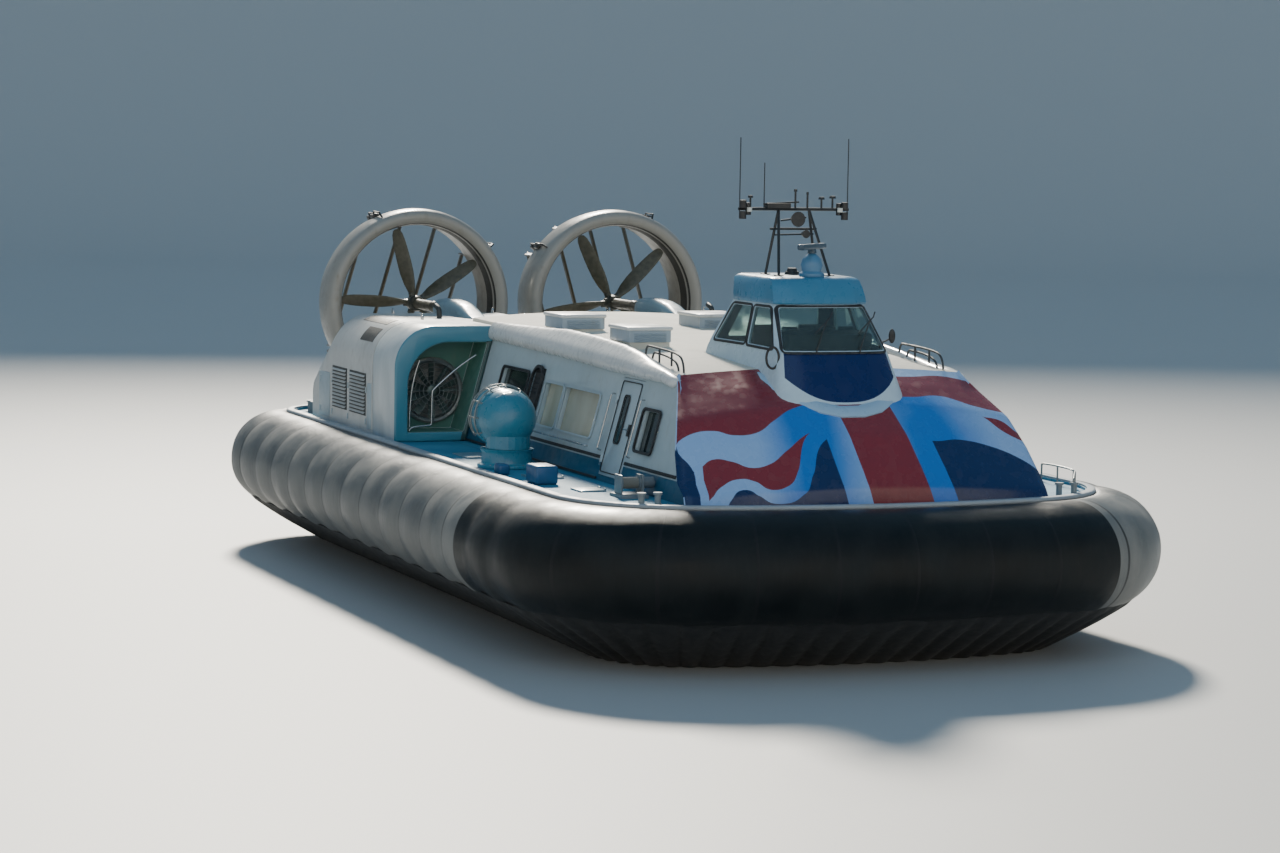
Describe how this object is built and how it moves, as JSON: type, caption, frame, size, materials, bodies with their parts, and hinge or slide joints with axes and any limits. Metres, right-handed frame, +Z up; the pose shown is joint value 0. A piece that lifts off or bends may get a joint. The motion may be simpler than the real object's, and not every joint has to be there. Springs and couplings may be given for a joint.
{
  "type": "medium passenger hovercraft",
  "caption": "Passenger hovercraft on an inflated bag-and-finger skirt, with ducted air propellers, canted rudders, bow thrusters, cabin and raised wheelhouse.",
  "frame": {"origin": "on the ground, below the middle of the craft's outer box, at the hem of the inflated skirt", "axes": "+X towards the bow, +Y to port, +Z up"},
  "size_m": [24, 12.8, 9.1],
  "materials": {
    "hull_paint": "satin dark blue-grey marine paint",
    "skirt_fabric": "dark coated fabric with a soft sheen",
    "cream_paint": "semi-gloss cream-white paint",
    "slope_paint": "gloss paint in red, white and dark blue bands",
    "panel_paint": "gloss dark blue paint",
    "grey_paint": "satin blue-grey paint",
    "window_glass": "dark tinted glass",
    "amber_glass": "pale translucent window panes",
    "duct_paint": "satin light grey paint",
    "blade_paint": "satin dark olive paint",
    "rudder_paint": "satin olive grey paint",
    "black_paint": "satin black paint",
    "seat_fabric": "dark blue woven cloth",
    "engine_metal": "painted engine grey"
  },
  "bodies": {
    "craft": {"hull": "hull_paint", "landing_skid_port": "hull_paint", "landing_skid_starboard": "hull_paint", "skirt_bag_bow": "skirt_fabric", "skirt_fingers_bow": "skirt_fabric", "skirt_bag_port": "skirt_fabric", "skirt_fingers_port": "skirt_fabric", "skirt_bag_stern": "skirt_fabric", "skirt_fingers_stern": "skirt_fabric", "skirt_bag_starboard": "skirt_fabric", "skirt_fingers_starboard": "skirt_fabric", "cabin_roof": "cream_paint", "cabin_front_slope": "slope_paint", "cabin_aft_bulkhead": "cream_paint", "cabin_side_port": "cream_paint", "roof_shoulder_port": "cream_paint", "cabin_windows_port": "amber_glass", "cabin_fore_window_port": "window_glass", "fan_room_port": "cream_paint", "engine_room_port": "cream_paint", "engine_port": "engine_metal", "drive_housing_port": "grey_paint", "duct_port": "duct_paint", "thruster_base_port": "grey_paint", "cabin_side_starboard": "cream_paint", "roof_shoulder_starboard": "cream_paint", "cabin_windows_starboard": "amber_glass", "cabin_fore_window_starboard": "window_glass", "fan_room_starboard": "cream_paint", "engine_room_starboard": "cream_paint", "engine_starboard": "engine_metal", "drive_housing_starboard": "grey_paint", "duct_starboard": "duct_paint", "thruster_base_starboard": "grey_paint", "passenger_seats": "seat_fabric", "wheelhouse_body": "panel_paint", "wheelhouse_glass": "window_glass", "wheelhouse_roof": "cream_paint", "helm": "seat_fabric", "mast": "black_paint", "radar_pedestal": "grey_paint"},
    "propeller_port": {"propeller_port": "blade_paint"},
    "lift_fan_port": {"lift_fan_port": "grey_paint"},
    "cabin_door_port": {"cabin_door_port": "cream_paint"},
    "thruster_nozzle_port": {"thruster_nozzle_port": "grey_paint"},
    "rudder_port_1": {"rudder_port_1": "rudder_paint"},
    "rudder_port_2": {"rudder_port_2": "rudder_paint"},
    "rudder_port_3": {"rudder_port_3": "rudder_paint"},
    "rudder_port_4": {"rudder_port_4": "rudder_paint"},
    "propeller_starboard": {"propeller_starboard": "blade_paint"},
    "lift_fan_starboard": {"lift_fan_starboard": "grey_paint"},
    "cabin_door_starboard": {"cabin_door_starboard": "cream_paint"},
    "thruster_nozzle_starboard": {"thruster_nozzle_starboard": "grey_paint"},
    "rudder_starboard_1": {"rudder_starboard_1": "rudder_paint"},
    "rudder_starboard_2": {"rudder_starboard_2": "rudder_paint"},
    "rudder_starboard_3": {"rudder_starboard_3": "rudder_paint"},
    "rudder_starboard_4": {"rudder_starboard_4": "rudder_paint"},
    "radar_scanner": {"radar_scanner": "cream_paint"}
  },
  "joints": [
    {"name": "propeller_port_turn", "type": "hinge", "parent": "craft", "child": "propeller_port", "pos_m": [-9.2, 2.34, 5.23], "axis": [1, 0, 0], "continuous": true},
    {"name": "lift_fan_port_turn", "type": "hinge", "parent": "craft", "child": "lift_fan_port", "pos_m": [-3.21, 3.82, 3.78], "axis": [1, 0, 0], "continuous": true},
    {"name": "cabin_door_port_swing", "type": "hinge", "parent": "craft", "child": "cabin_door_port", "pos_m": [5.25, 3.3551, 2.80678], "axis": [0, -0.2607, 0.9654], "range_deg": [0, 100]},
    {"name": "thruster_nozzle_port_swivel", "type": "hinge", "parent": "craft", "child": "thruster_nozzle_port", "pos_m": [2.7, 4.2, 3.16], "axis": [0, 0, 1], "range_deg": [-170, 170]},
    {"name": "rudder_port_1_turn", "type": "hinge", "parent": "craft", "child": "rudder_port_1", "pos_m": [-10.55, 1.18649, 4.89924], "axis": [0, -0.2756, 0.9613], "range_deg": [-12, 48]},
    {"name": "rudder_port_2_turn", "type": "hinge", "parent": "craft", "child": "rudder_port_2", "pos_m": [-10.55, 1.95549, 5.11974], "axis": [0, -0.2756, 0.9613], "range_deg": [-12, 48]},
    {"name": "rudder_port_3_turn", "type": "hinge", "parent": "craft", "child": "rudder_port_3", "pos_m": [-10.55, 2.72451, 5.34025], "axis": [0, -0.2756, 0.9613], "range_deg": [-12, 48]},
    {"name": "rudder_port_4_turn", "type": "hinge", "parent": "craft", "child": "rudder_port_4", "pos_m": [-10.55, 3.49351, 5.56076], "axis": [0, -0.2756, 0.9613], "range_deg": [-12, 48]},
    {"name": "propeller_starboard_turn", "type": "hinge", "parent": "craft", "child": "propeller_starboard", "pos_m": [-9.2, -2.34, 5.23], "axis": [1, 0, 0], "continuous": true},
    {"name": "lift_fan_starboard_turn", "type": "hinge", "parent": "craft", "child": "lift_fan_starboard", "pos_m": [-3.21, -3.82, 3.78], "axis": [1, 0, 0], "continuous": true},
    {"name": "cabin_door_starboard_swing", "type": "hinge", "parent": "craft", "child": "cabin_door_starboard", "pos_m": [5.25, -3.3551, 2.80678], "axis": [0, 0.2607, 0.9654], "range_deg": [-100, 0]},
    {"name": "thruster_nozzle_starboard_swivel", "type": "hinge", "parent": "craft", "child": "thruster_nozzle_starboard", "pos_m": [2.7, -4.2, 3.16], "axis": [0, 0, 1], "range_deg": [-170, 170]},
    {"name": "rudder_starboard_1_turn", "type": "hinge", "parent": "craft", "child": "rudder_starboard_1", "pos_m": [-10.55, -1.18649, 4.89924], "axis": [0, 0.2756, 0.9613], "range_deg": [-12, 48]},
    {"name": "rudder_starboard_2_turn", "type": "hinge", "parent": "craft", "child": "rudder_starboard_2", "pos_m": [-10.55, -1.95549, 5.11974], "axis": [0, 0.2756, 0.9613], "range_deg": [-12, 48]},
    {"name": "rudder_starboard_3_turn", "type": "hinge", "parent": "craft", "child": "rudder_starboard_3", "pos_m": [-10.55, -2.72451, 5.34025], "axis": [0, 0.2756, 0.9613], "range_deg": [-12, 48]},
    {"name": "rudder_starboard_4_turn", "type": "hinge", "parent": "craft", "child": "rudder_starboard_4", "pos_m": [-10.55, -3.49351, 5.56076], "axis": [0, 0.2756, 0.9613], "range_deg": [-12, 48]},
    {"name": "radar_scanner_turn", "type": "hinge", "parent": "craft", "child": "radar_scanner", "pos_m": [7.23, 0, 7.04], "axis": [0, 0, 1], "continuous": true}
  ],
  "couplings": [
    {"joint": "rudder_starboard_2_turn", "follows": "rudder_starboard_1_turn", "ratio": 1},
    {"joint": "rudder_starboard_3_turn", "follows": "rudder_starboard_1_turn", "ratio": 1},
    {"joint": "rudder_starboard_4_turn", "follows": "rudder_starboard_1_turn", "ratio": 1},
    {"joint": "rudder_port_1_turn", "follows": "rudder_starboard_1_turn", "ratio": 1},
    {"joint": "rudder_port_2_turn", "follows": "rudder_starboard_1_turn", "ratio": 1},
    {"joint": "rudder_port_3_turn", "follows": "rudder_starboard_1_turn", "ratio": 1},
    {"joint": "rudder_port_4_turn", "follows": "rudder_starboard_1_turn", "ratio": 1}
  ]
}
